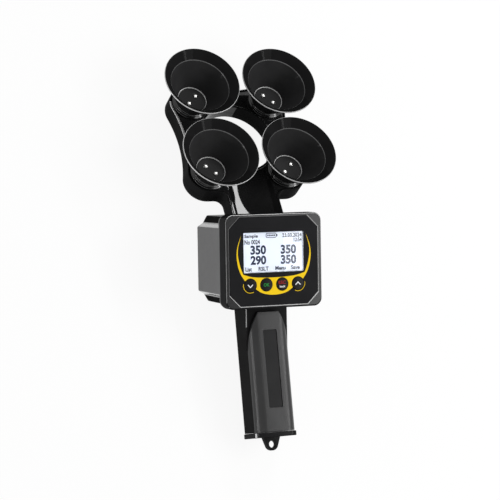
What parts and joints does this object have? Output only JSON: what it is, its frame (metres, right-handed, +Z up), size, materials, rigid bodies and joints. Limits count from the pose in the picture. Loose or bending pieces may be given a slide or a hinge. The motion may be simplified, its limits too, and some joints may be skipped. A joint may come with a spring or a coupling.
{
  "type": "mastitis detector",
  "caption": "Hand-held milk tester: open cups with electrodes on a ring-shaped head, a box with a display and keys set at an angle, and a straight grip with an end cap.",
  "frame": {"origin": "centre of the bounding box's lowest face, as the tester lies on its back on a table", "axes": "+X to the right as the user sees the display, +Y from the grip towards the cups, +Z up out of the display and cups"},
  "size_m": [0.157, 0.393, 0.0973],
  "materials": {
    "head_shell": "glossy black moulded plastic",
    "cup_shell": "glossy black moulded plastic",
    "cup_floor": "satin black disc with a bright edge",
    "electrode_metal": "polished steel",
    "seal_rubber": "soft matt black",
    "nylon": "plain off-white",
    "screw_steel": "plain steel",
    "wire_sheath": "grey wire sheath",
    "box_shell": "dark grey satin",
    "overlay_film": "satin charcoal film with yellow arcs",
    "window_pane": "clear pane",
    "display_body": "pale blue-white screen with dark digits",
    "keypad_rubber": "moulded rubber mat",
    "key_plastic": "semi-gloss black with coloured marks",
    "circuit_board": "green solder mask",
    "grip_shell": "glossy black moulded plastic",
    "grip_cover": "finely textured grey",
    "plate_film": "dark plain plate",
    "cap_plastic": "satin dark grey",
    "cell_can": "plain cell can"
  },
  "bodies": {
    "tester": {"head_frame_front": "head_shell", "head_frame_back": "head_shell", "cup_far_left": "cup_shell", "cup_far_right": "cup_shell", "cup_near_left": "cup_shell", "cup_near_right": "cup_shell", "cup_floor_far_left": "cup_floor", "cup_floor_far_right": "cup_floor", "cup_floor_near_left": "cup_floor", "cup_floor_near_right": "cup_floor", "electrode_far_left_1": "electrode_metal", "electrode_far_left_2": "electrode_metal", "electrode_far_right_1": "electrode_metal", "electrode_far_right_2": "electrode_metal", "electrode_near_left_1": "electrode_metal", "electrode_near_left_2": "electrode_metal", "electrode_near_right_1": "electrode_metal", "electrode_near_right_2": "electrode_metal", "cup_seal_far_left": "seal_rubber", "cup_seal_far_right": "seal_rubber", "cup_seal_near_left": "seal_rubber", "cup_seal_near_right": "seal_rubber", "cup_nut_far_left": "nylon", "cup_nut_far_right": "nylon", "cup_nut_near_left": "nylon", "cup_nut_near_right": "nylon", "frame_screw_1": "screw_steel", "frame_screw_2": "screw_steel", "frame_screw_3": "screw_steel", "frame_screw_4": "screw_steel", "sensor_harness": "wire_sheath", "battery_lead": "wire_sheath", "front_bezel": "box_shell", "rear_housing": "box_shell", "housing_gasket": "seal_rubber", "front_overlay": "overlay_film", "display_window": "window_pane", "lcd_module": "display_body", "keypad_mat": "keypad_rubber", "main_board": "circuit_board", "housing_screw_1": "screw_steel", "housing_screw_2": "screw_steel", "housing_screw_3": "screw_steel", "housing_screw_4": "screw_steel", "grip_rear_shell": "grip_shell", "grip_front_shell": "grip_cover", "grip_plate": "plate_film", "cell_holder": "nylon", "cell_1": "cell_can", "cell_2": "cell_can", "cell_3": "cell_can", "cell_4": "cell_can"},
    "down_key": {"key_down": "key_plastic"},
    "ok_key": {"key_ok": "key_plastic"},
    "esc_key": {"key_esc": "key_plastic"},
    "up_key": {"key_up": "key_plastic"},
    "cap": {"end_cap": "cap_plastic", "end_cap_seal": "seal_rubber", "end_cap_screw_1": "screw_steel", "end_cap_screw_2": "screw_steel"}
  },
  "joints": [
    {"name": "press_down", "type": "slide", "parent": "tester", "child": "down_key", "axis": [0, 0.2675, -0.9635], "range_m": [0, 0.0007], "stiffness_N_per_m": 400, "springref_m": -0.002},
    {"name": "press_ok", "type": "slide", "parent": "tester", "child": "ok_key", "axis": [0, 0.2675, -0.9635], "range_m": [0, 0.0007], "stiffness_N_per_m": 400, "springref_m": -0.002},
    {"name": "press_esc", "type": "slide", "parent": "tester", "child": "esc_key", "axis": [0, 0.2675, -0.9635], "range_m": [0, 0.0007], "stiffness_N_per_m": 400, "springref_m": -0.002},
    {"name": "press_up", "type": "slide", "parent": "tester", "child": "up_key", "axis": [0, 0.2675, -0.9635], "range_m": [0, 0.0007], "stiffness_N_per_m": 400, "springref_m": -0.002},
    {"name": "lift_end_cap", "type": "slide", "parent": "tester", "child": "cap", "axis": [0, -0.9952, -0.0979], "range_m": [0, 0.01]}
  ]
}
